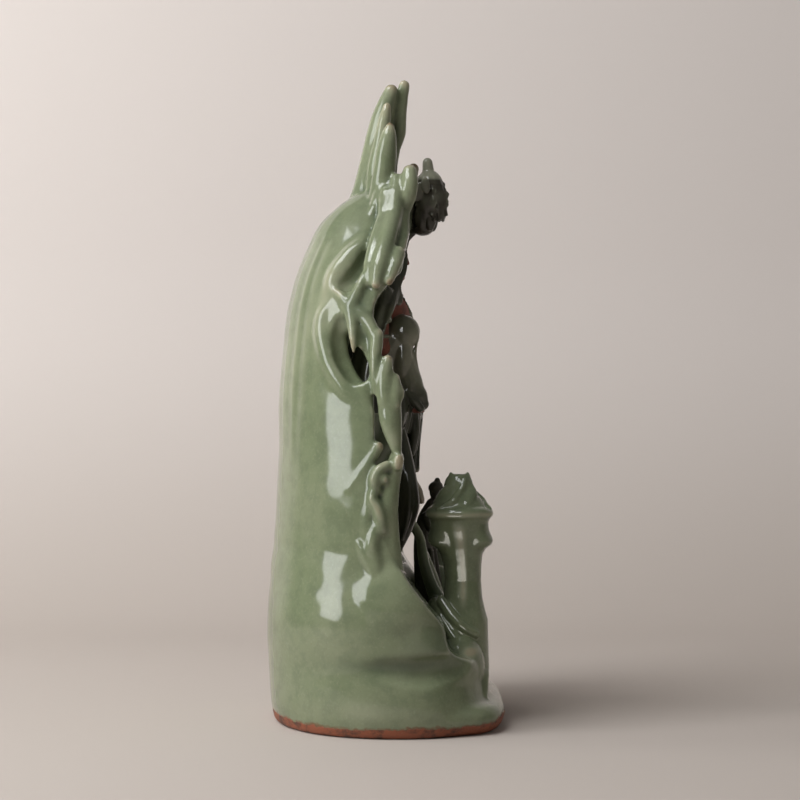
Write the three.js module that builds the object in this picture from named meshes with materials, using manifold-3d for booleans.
// A celadon grotto shrine with Guanyin seated inside, glazed and fired as one piece.
// Millimetres, +Z up. The open front faces -Y and the origin is under the middle of the foot.

import * as THREE from 'three';
import { mergeVertices } from 'three/addons/utils/BufferGeometryUtils.js';
import Module from 'manifold-3d';

// Driving dimensions
const HEIGHT = 360;
const HALF_WIDTH = 88;
const HALF_DEPTH = 66.6;
const CROWN_TOP = 300;
const SEAT_TOP = 172;
const FOOT_RING = 13;
const FOOT_RECESS = 3;
const VASE_TOP = 139;
const WORSHIPPER_TOP = 134;

// Outer rock: back, widest place, front and half width at the levels where its outline turns
const ROCK_LEVELS = [
  { z: 0, back: 62.6, wide: -6, front: -61, half: 86 },
  { z: 9, back: 64.3, wide: -6, front: -61, half: HALF_WIDTH },
  { z: 24, back: 65.6, wide: -5, front: -57, half: 87.5 },
  { z: 36, back: 66.2, wide: -2, front: -54, half: 85.5 },
  { z: 46, back: HALF_DEPTH, wide: 2, front: -36, half: 86 },
  { z: 62, back: 66.4, wide: 4, front: -25, half: 86 },
  { z: 76, back: 65.2, wide: 8, front: -13, half: 84 },
  { z: 92, back: 64, wide: 14, front: -1, half: 82 },
  { z: 120, back: 61.8, wide: 14, front: -1, half: 79 },
  { z: 150, back: 60.3, wide: 12, front: -2, half: 76 },
  { z: 180, back: 60.3, wide: 12, front: -2, half: 73 },
  { z: 207, back: 58.1, wide: 14, front: 4, half: 70 },
  { z: 230, back: 55.3, wide: 12, front: 3, half: 65 },
  { z: 250, back: 50.2, wide: 6, front: -5, half: 57 },
  { z: 265, back: 44, wide: 0, front: -14, half: 47 },
  { z: 280, back: 36, wide: -1, front: -17, half: 35 },
  { z: 292, back: 22, wide: -2, front: -16, half: 24 },
  { z: CROWN_TOP, back: 8, wide: -3, front: -13, half: 15 },
];

// The niche that the figure sits in, open to the front
const NICHE_LEVELS = [
  { z: 84, back: 30, half: 44 },
  { z: 96, back: 40, half: 52 },
  { z: 140, back: 44, half: 53 },
  { z: 185, back: 45, half: 51 },
  { z: 215, back: 43, half: 47 },
  { z: 240, back: 38, half: 40 },
  { z: 262, back: 29, half: 29 },
  { z: 276, back: 18, half: 17 },
  { z: 287, back: 4, half: 4 },
];
const NICHE_FRONT = -90;

// Rock mass that carries the seat
const SEAT_LEVELS = [
  { z: 60, back: 46, front: -11, half: 30 },
  { z: 92, back: 46, front: -9, half: 27 },
  { z: 106, back: 46, front: -11, half: 29 },
  { z: 128, back: 46, front: -13, half: 33 },
  { z: 150, back: 46, front: -14, half: 37 },
  { z: SEAT_TOP, back: 46, front: -13, half: 36 },
];

// Faces finer than this are merged where solids meet
const FINEST = 0.25;

const wasm = await Module();
wasm.setup();

/** Closed geometry as a solid that can be joined and cut. */
function toSolid(geometry) {
  const bare = geometry.clone();
  bare.deleteAttribute('normal');
  bare.deleteAttribute('uv');
  const merged = mergeVertices(bare, 1e-4);
  const corners = merged.index.array;
  const kept = [];
  for (let i = 0; i < corners.length; i += 3) {
    const [a, b, c] = [corners[i], corners[i + 1], corners[i + 2]];
    if (a !== b && b !== c && c !== a) {
      kept.push(a, b, c);
    }
  }
  return new wasm.Manifold(new wasm.Mesh({
    numProp: 3,
    tolerance: FINEST,
    vertProperties: new Float32Array(merged.attributes.position.array),
    triVerts: new Uint32Array(kept),
  }));
}

/** Geometry of a solid, ready for a mesh. */
function toGeometry(solid) {
  const mesh = solid.getMesh();
  const geometry = new THREE.BufferGeometry();
  geometry.setAttribute('position', new THREE.BufferAttribute(mesh.vertProperties, 3));
  geometry.setIndex(new THREE.BufferAttribute(mesh.triVerts, 1));
  return geometry;
}

/** The outer body alone, so that pockets closed off between the rocks are filled clay. */
function outerBody(solid) {
  return solid.decompose().reduce((best, part) => (part.volume() > best.volume() ? part : best));
}

/** Joins a list of solids. */
function joined(solids) {
  return solids.reduce((whole, solid) => whole.add(solid));
}

/** Smooth value of one measure at a height, through the levels of an outline. */
function measureAt(levels, key, z) {
  const last = levels.length - 1;
  let i = 0;
  while (i < last - 1 && z > levels[i + 1].z) {
    i += 1;
  }
  const slope = (k) => {
    const before = levels[Math.max(k - 1, 0)];
    const after = levels[Math.min(k + 1, last)];
    return (after[key] - before[key]) / (after.z - before.z);
  };
  const span = levels[i + 1].z - levels[i].z;
  const t = THREE.MathUtils.clamp((z - levels[i].z) / span, 0, 1);
  const rise = levels[i + 1][key] - levels[i][key];
  const start = slope(i) * span;
  const end = slope(i + 1) * span;
  return levels[i][key] + t * (start + t * (3 * rise - 2 * start - end + t * (start + end - 2 * rise)));
}

/** Point on a rounded outline, squarer as the power grows. */
function roundedPoint(angle, half, back, wide, front, backPower, frontPower) {
  const snapped = (value) => (Math.abs(value) < 1e-6 ? 0 : value);
  const c = snapped(Math.cos(angle));
  const s = snapped(Math.sin(angle));
  const power = s > 0 ? backPower : frontPower;
  const depth = s > 0 ? back - wide : wide - front;
  const x = half * Math.sign(c) * Math.abs(c) ** (2 / power);
  const y = wide + depth * Math.sign(s) * Math.abs(s) ** (2 / power);
  return new THREE.Vector2(x, y);
}

/** Upright body: place gives the point for a level, an angle and a reach of 1 on the wall, 0 at a cap. */
function uprightBody(around, rows, place) {
  const geometry = new THREE.CylinderGeometry(1, 1, 1, around, rows);
  geometry.rotateX(Math.PI / 2);
  const position = geometry.attributes.position;
  const point = new THREE.Vector3();
  for (let i = 0; i < position.count; i += 1) {
    point.fromBufferAttribute(position, i);
    const reach = Math.hypot(point.x, point.y);
    const made = place(point.z + 0.5, Math.atan2(point.y, point.x), reach);
    position.setXYZ(i, made.x, made.y, made.z);
  }
  return toSolid(geometry);
}

/** Bar with closed ends along a curve, a radius at each point; a second cap ring domes the ends. */
function limb(points, radii, sides = 6, steps = 3, flat = 1, capRings = 1) {
  const curve = new THREE.CatmullRomCurve3(points.map((p) => new THREE.Vector3(...p)));
  const geometry = new THREE.CapsuleGeometry(1, 1, capRings, sides, steps);
  const position = geometry.attributes.position;
  const last = radii.length - 1;
  const point = new THREE.Vector3();
  for (let i = 0; i < position.count; i += 1) {
    point.fromBufferAttribute(position, i);
    const t = THREE.MathUtils.clamp(point.y + 0.5, 0, 1);
    const step = Math.min(Math.floor(t * last), last - 1);
    const radius = THREE.MathUtils.lerp(radii[step], radii[step + 1], t * last - step);
    const beyond = (point.y + 0.5 - t) * radius;
    const along = curve.getTangent(t);
    const guide = Math.abs(along.x) > 0.8 ? new THREE.Vector3(0, 0, 1) : new THREE.Vector3(1, 0, 0);
    const across = guide.sub(along.clone().multiplyScalar(guide.dot(along))).normalize();
    const outward = across.clone().cross(along);
    const made = curve.getPoint(t);
    made.addScaledVector(along, beyond);
    made.addScaledVector(across, point.x * radius);
    made.addScaledVector(outward, point.z * radius * flat);
    position.setXYZ(i, made.x, made.y, made.z);
  }
  return toSolid(geometry);
}

/** Rounded lump with three half sizes, turned by three angles in degrees. */
function lump(centre, halves, turns = [0, 0, 0], sides = 8, rows = 6) {
  const geometry = new THREE.SphereGeometry(1, sides, rows);
  geometry.scale(...halves);
  const turn = new THREE.Euler(...turns.map(THREE.MathUtils.degToRad));
  geometry.applyMatrix4(new THREE.Matrix4().makeRotationFromEuler(turn));
  geometry.translate(...centre);
  return toSolid(geometry);
}

/** Turned form on an upright axis, from pairs of radius and height. */
function turned(profile, x, y, sides) {
  const geometry = new THREE.LatheGeometry(profile.map((p) => new THREE.Vector2(...p)), sides);
  geometry.rotateX(Math.PI / 2);
  geometry.translate(x, y, 0);
  return toSolid(geometry);
}

/** Outer mass of the rock, before anything is cut from it. */
function rockMass() {
  return uprightBody(28, 15, (level, angle, reach) => {
    const z = CROWN_TOP * (1 - (1 - level) ** 1.2);
    const at = (key) => measureAt(ROCK_LEVELS, key, z);
    const upper = THREE.MathUtils.smoothstep(z, 26, 50);
    const frontPower = THREE.MathUtils.lerp(2.5, 5, upper);
    const flat = roundedPoint(angle, at('half'), at('back'), at('wide'), at('front'), 2.15, frontPower);
    const centre = (at('back') + at('front')) / 2;
    return new THREE.Vector3(flat.x * reach, centre + (flat.y - centre) * reach, z);
  });
}

/** Space cut out for the figure. */
function nicheSpace() {
  const bottom = NICHE_LEVELS[0].z;
  const top = NICHE_LEVELS[NICHE_LEVELS.length - 1].z;
  return uprightBody(16, 7, (level, angle, reach) => {
    const z = THREE.MathUtils.lerp(bottom, top, level);
    const half = measureAt(NICHE_LEVELS, 'half', z);
    const back = measureAt(NICHE_LEVELS, 'back', z);
    const flat = roundedPoint(angle, half, back, 0, NICHE_FRONT, 2.4, 30);
    return new THREE.Vector3(flat.x * reach, flat.y * reach, z);
  });
}

/** Basin scooped behind the front rim. */
function basinSpace() {
  return lump([0, -21, 73], [47, 16, 36], [0, 0, 0], 10, 6);
}

/** Shallow recess under the base that leaves the foot ring standing. */
function footRecess() {
  return uprightBody(18, 1, (level, angle, reach) => {
    const shrink = FOOT_RING + 5 * level;
    const flat = roundedPoint(angle, 86 - shrink, 62.6 - shrink, -6, -61 + shrink, 2.15, 2.5);
    return new THREE.Vector3(flat.x * reach, flat.y * reach, -2 + (FOOT_RECESS + 2) * level);
  });
}

/** Scoops pressed into the side of the rock; the lower one breaks through into the niche. */
function sideScoops(side) {
  const upper = lump([side * 59, 19, 250.5], [11, 10.5, 18], [33, 0, 0], 8, 6);
  const lower = lump([side * 74, 20.5, 203.5], [13, 10.5, 26], [-16.6, 0, 0], 8, 6);
  const slot = lump([side * 60, 16.5, 204], [30, 3.8, 13.5], [-25, 0, 0], 6, 5);
  return side < 0 ? [upper, lower, slot] : [lower, slot];
}

/** Fingers and knobs of rock along one edge of the opening, side -1 for the near jamb. */
function jambRocks(side) {
  const x = (value) => side * value;
  const main = [
    limb([[x(70), 5, 72], [x(69), 4, 92], [x(67), 3.5, 112]], [7, 7, 5], 6, 2),
    limb([[x(67), 3, 118], [x(67), 1.5, 130], [x(66), 1, 140]], [6, 7.4, 5], 6, 2),
    limb([[x(64), -2, 146], [x(63), -2.6, 166], [x(61), -1.6, 182]], [6.6, 7.4, 6], 6, 2),
    limb([[x(60), 1.5, 184], [x(59), -0.8, 199]], [5.6, 4.8], 6, 1, 1, 2),
    limb([[x(59), 10, 218], [x(58), 10, 232], [x(53), 7, 246]], [7, 10, 6], 6, 2),
    limb(
      [[x(53), 6.5, 244], [x(44), 1, 260], [x(34), -3.4, 273], [x(25), -6.6, 286]],
      [3.6, 5, 5.4, 4.4],
      5,
      3,
    ),
    limb([[x(31), -8, 270], [x(27), -11, 288], [x(24), -13.2, 303]], [6.4, 5.8, 5], 6, 2, 1, 2),
  ];
  const nearOnly = [
    limb([[x(61), 6.5, 194], [x(58), 5, 206], [x(56), 4.4, 213]], [4.6, 4.4, 2.4], 5, 2),
    limb([[x(48), -1, 238], [x(45), -5, 250], [x(43), -6.6, 259]], [2.2, 3.4, 3.3], 5, 2),
    lump([x(62), -5.6, 145], [7, 4.6, 6.5], [0, 0, 0], 6, 4),
    lump([x(59), -8, 184], [4, 3.2, 3.4], [0, 0, 0], 5, 4),
    limb([[x(29), -3, 288], [x(25), -8.2, 304]], [5, 1.8], 5, 1),
  ];
  return side < 0 ? [...main, ...nearOnly] : main;
}

/** Three-armed rock that bridges the two scoops on one side. */
function starRock(side) {
  const heart = [side * 62, 14, 234];
  return [
    limb([heart, [side * 57, 9.5, 246], [side * 55, 7.9, 252]], [6.5, 3.6, 1.8], 5, 2),
    limb([heart, [side * 64, 22, 236.5]], [6, 2.4], 5, 1),
    limb([heart, [side * 68, 17, 220], [side * 70, 17.3, 206.5]], [7.5, 5, 1.6], 5, 3),
  ];
}

/** Flame-like spikes that stand on the crown: back, second, nearest, tall front and far one. */
function crestSpikes() {
  const back = [[1, 14, 292], [0, 9, 316], [-1, 3.5, 334], [-2, -1, 347], [-2, -3.2, 354.5]];
  const second = [[-9, 10, 290], [-10, 4.5, 317], [-10, 0.5, 335], [-10, -1, 345.5]];
  const nearest = [[-20, 7, 284], [-21, 3, 304], [-22, -0.5, 318], [-22, -2.3, 332]];
  const front = [[5, 1, 290], [5, -3, 312], [4, -7.6, 334], [3, -9, 346], [3, -10.6, HEIGHT - 3.3]];
  const far = [[20, 7, 284], [21, 3, 303], [22, 1, 316], [22, 0, 326]];
  return [
    limb(back, [9, 6.6, 5, 3.9, 3], 6, 4, 1, 2),
    limb(second, [8, 5.6, 4.1, 2.2], 6, 3),
    limb(nearest, [8.5, 7.4, 6.2, 2], 6, 4),
    limb(front, [8, 5, 3.7, 3.4, 3.3], 6, 4, 1, 2),
    limb(far, [8.5, 6.4, 5, 2], 5, 3),
  ];
}

/** Crown of the arch, where spikes, brow and blossom meet. */
function crown() {
  return [
    lump([0, 3, 290], [27, 17, 12], [-8, 0, 0], 9, 5),
    limb([[-27, -9, 284], [-12, -12.6, 295], [12, -12.6, 295], [27, -9, 284]], [7, 7.5, 7.5, 7], 6, 4),
    lump([-3, -14, 308.5], [6, 4.8, 6.5], [0, 0, 0], 6, 5),
  ];
}

/** Blossom that hangs forward from the crown: calyx cap, heart and overlapping petals. */
function blossom() {
  const petals = [];
  const count = 5;
  for (let i = 0; i < count; i += 1) {
    const angle = (i / count) * 2 * Math.PI;
    const lean = Math.cos(angle);
    const centre = [7.4 * Math.sin(angle), -25.4 - 4.6 * lean, 292 + 2 * lean];
    petals.push(lump(centre, [6.4, 4.4, 11.5], [8 * lean, 12 * Math.sin(angle), 0], 6, 5));
  }
  return [
    ...petals,
    lump([0, -21.6, 282], [9, 6.8, 10.6], [0, 0, 0], 8, 6),
    limb([[0, -13, 299], [0, -24, 299]], [6, 5], 5, 1),
    turned([[0, 296], [8, 299], [7, 304], [2.8, 310.5], [2.9, 315], [0, 316.4]], 0, -24.4, 7),
  ];
}

/** Rocky seat inside the niche. */
function seatRock() {
  const bottom = SEAT_LEVELS[0].z;
  return uprightBody(14, 4, (level, angle, reach) => {
    const z = THREE.MathUtils.lerp(bottom, SEAT_TOP, level);
    const at = (key) => measureAt(SEAT_LEVELS, key, z);
    const rough = 1 + 0.05 * Math.sin(angle * 4 + z / 9);
    const flat = roundedPoint(angle, at('half') * rough, at('back'), 16, at('front'), 2.6, 2.3);
    return new THREE.Vector3(flat.x * reach, 16 + (flat.y - 16) * reach, z);
  });
}

/** Head with a plain face, high topknot and the hood drawn over the hair. */
function headAndHood() {
  return [
    lump([0, -3.5, 259], [9.6, 10.4, 12.6], [0, 0, 0], 9, 7),
    lump([0, 1.5, 260], [12.8, 10.8, 18], [-6, 0, 0], 9, 6),
    limb([[0, 0, 270], [0, 0.5, 280]], [7.4, 5.4], 6, 1),
    limb([[0, -13.2, 261], [0, -14.4, 256.6]], [1.2, 1.7], 4, 1),
    limb([[0, 1.5, 236], [0, 0, 250]], [7, 6], 6, 1),
  ];
}

/** Body, shoulders, bare chest and necklace. */
function torso() {
  const beads = [];
  const count = 5;
  for (let i = 0; i < count; i += 1) {
    const swing = (i / (count - 1) - 0.5) * 2;
    const centre = [9 * swing, -12.6 + 4 * swing ** 2, 231 + 8 * swing ** 2];
    beads.push(lump(centre, [2.4, 2.2, 2.2], [0, 0, 0], 5, 3));
  }
  return [
    limb([[0, 8, 170], [0, 4, 205], [0, 1.5, 234]], [22, 18.5, 17.5], 9, 2, 0.72),
    lump([0, 3, 234], [28, 12.5, 10.5], [0, 0, 0], 9, 6),
    lump([0, 3, 177], [37, 19, 11], [0, 0, 0], 9, 5),
    ...beads,
  ];
}

/** Near arm laid over the raised knee, and the far arm propped on the seat. */
function arms() {
  return [
    limb([[-23, 3, 236], [-29, 1, 224], [-30, -4, 213]], [8.5, 8.5, 8], 6, 2),
    limb([[-30, -4, 213], [-27, -9, 219], [-20, -14, 224], [-15, -17, 222]], [7.5, 6, 4, 3.2], 6, 3),
    limb([[-30, -1, 214], [-33, 1, 198], [-32, 3, 180]], [7, 7.5, 6], 5, 2, 1.2),
    limb([[23, 3, 236], [29, 3, 222], [33, 3, 200], [32, -1, 178]], [8.5, 8, 7.6, 4.6], 6, 3),
  ];
}

/** Raised near leg, pendant far leg and the foot that shows below the hem. */
function legs() {
  return [
    limb([[-15, 5, 180], [-17, -2, 201], [-16, -8, 214]], [13, 11, 8.6], 7, 2),
    lump([-16, -10.2, 216.8], [9.6, 9.3, 9.6], [0, 0, 0], 8, 6),
    limb([[-16, -9.6, 212], [-15, -9.3, 203], [-13, -11, 190], [-12, -14, 178]], [7.5, 6.3, 7, 8], 7, 3),
    lump([9, -5, 188], [22, 14.5, 14], [0, 0, 8], 8, 6),
    limb([[12, -9, 184], [9, -13, 176], [8, -12.4, 158], [8, -10.6, 142]], [13, 10.6, 9.6, 8.4], 7, 4),
    lump([6, -12, 131], [11, 8, 11], [0, 0, 0], 7, 5),
    lump([7, -17, 126.5], [5.6, 6, 7], [-14, 0, 0], 7, 5),
  ];
}

/** Robe folds: swags across the hanging leg and a gathered hem over the seat. */
function robeFolds() {
  const folds = [];
  const swags = 3;
  for (let i = 0; i < swags; i += 1) {
    const z = 178 - i * 15;
    const front = -21.6 + i * 1.9;
    const swag = [[-5, front + 6, z + 9], [6, front, z], [19, front + 8, z + 7]];
    folds.push(limb(swag, [1.8, 2.3, 1.7], 4, 3));
  }
  for (const [x, hem] of [[-27, 138], [-11, 143], [26, 136]]) {
    const front = -10 - 4 * Math.cos(x / 18);
    folds.push(limb([[x, front + 6, 172], [x, front + 1, 158], [x, front + 3, hem]], [6, 6.4, 4], 5, 2));
  }
  return folds;
}

/** Covered vase: concave cover, rim band, bowl with a pointed lower edge, slender body. */
function coveredVase() {
  const [x, y] = [-32, -41.6];
  const profile = [
    [0, 34],
    [15, 36],
    [14, 52],
    [11.6, 62],
    [11.2, 78],
    [12.4, 90],
    [18.4, 98.6],
    [17, 104],
    [16.6, 111],
    [18.3, 113.6],
    [18.3, 116.4],
    [12.4, 123],
    [6.8, 133],
    [5, 137],
    [5.3, VASE_TOP - 0.8],
    [0, VASE_TOP - 1.6],
  ];
  const ear = (side) => lump([x, y + side * 4.7, VASE_TOP - 1.2], [1.6, 1.4, 2], [0, 0, 0], 4, 3);
  return [turned(profile, x, y, 11), ear(-1), ear(1)];
}

/** Small bowed worshipper on the other side of the basin. */
function worshipper() {
  const [x, y] = [25, -24];
  return [
    limb([[x + 3, y - 3, 44], [x + 1, y - 1, 76], [x, y, 98], [x, y - 3, 116]], [15, 9, 7.6, 4.6], 7, 4),
    lump([x, y - 6.2, 124.4], [5.6, 5.6, 6.8], [10, 0, 0], 6, 5),
    limb([[x, y - 6, 129], [x, y - 6.2, WORSHIPPER_TOP - 1.2]], [2.8, 1.2], 5, 1),
    limb([[x - 6, y - 3, 107], [x, y - 9, 104], [x + 6, y - 3, 107]], [3.4, 3, 3.4], 5, 2),
  ];
}

/** Rocks, wave curls and the leaning stem along the front of the base. */
function frontGroup() {
  const waves = [];
  const count = 4;
  for (let i = 0; i < count; i += 1) {
    const x = -45 + i * 30;
    const curl = [[x - 11, -55, 16], [x - 3, -56.5, 30], [x + 8, -55, 32], [x + 8, -56, 24]];
    waves.push(limb(curl, [4.4, 4.4, 3.6, 2.4], 5, 3));
  }
  return [
    ...waves,
    limb([[4, -20.5, 99], [2, -22, 88], [-1, -27, 73], [-5, -34, 56]], [3.2, 3.8, 4.2, 6], 5, 3),
    limb([[6, -22, 98], [24, -23, 95]], [3.4, 4], 5, 1),
    lump([-31, -43, 44], [21, 14, 17], [0, 0, 0], 8, 6),
    lump([4, -44, 40], [22, 12, 15], [0, 0, 0], 7, 5),
    lump([34, -40, 44], [24, 14, 19], [0, 0, 0], 8, 6),
    lump([-60, -44, 30], [13, 12, 13], [0, 0, 0], 7, 5),
    lump([62, -42, 30], [13, 13, 14], [0, 0, 0], 7, 5),
  ];
}

/** Swollen lobes of the lower rock and the squared toes of the foot. */
function lowerLobes() {
  const toe = (side) => limb(
    [[side * 76, -28, 8], [side * 62, -52, 7.5], [side * 36, -58.4, 7.5], [0, -59.4, 7.5]],
    [8, 8, 7.5, 7.5],
    5,
    4,
  );
  return [
    lump([-66, -8, 58], [19, 24, 22], [-38, 0, 0], 8, 6),
    lump([66, -8, 60], [19, 24, 23], [-38, 0, 0], 8, 6),
    toe(-1),
    toe(1),
  ];
}

/** Flat block that trims whatever hangs below the foot. */
function belowFoot() {
  const block = new THREE.BoxGeometry(400, 400, 40);
  block.translate(0, 0, -20);
  return toSolid(block);
}

/** The whole shrine as one solid. */
function buildShrine() {
  const cuts = [nicheSpace(), ...sideScoops(-1), ...sideScoops(1)];
  const shell = cuts.reduce((rest, cut) => rest.subtract(cut), joined([rockMass(), ...lowerLobes()]));
  const whole = joined([
    shell.subtract(basinSpace()),
    ...jambRocks(-1),
    ...jambRocks(1),
    ...starRock(-1),
    ...starRock(1),
    ...crown(),
    ...crestSpikes(),
    ...blossom(),
    seatRock(),
    ...torso(),
    ...headAndHood(),
    ...arms(),
    ...legs(),
    ...robeFolds(),
    ...coveredVase(),
    ...worshipper(),
    ...frontGroup(),
  ]);
  return outerBody(whole.subtract(belowFoot()).subtract(footRecess()));
}

const celadon = new THREE.MeshStandardMaterial({ color: 0x8b9a78, roughness: 0.16, metalness: 0 });
const shrine = new THREE.Mesh(toGeometry(buildShrine()), celadon);
shrine.name = 'guanyin_grotto';

const group = new THREE.Group();
group.add(shrine);

export default group;
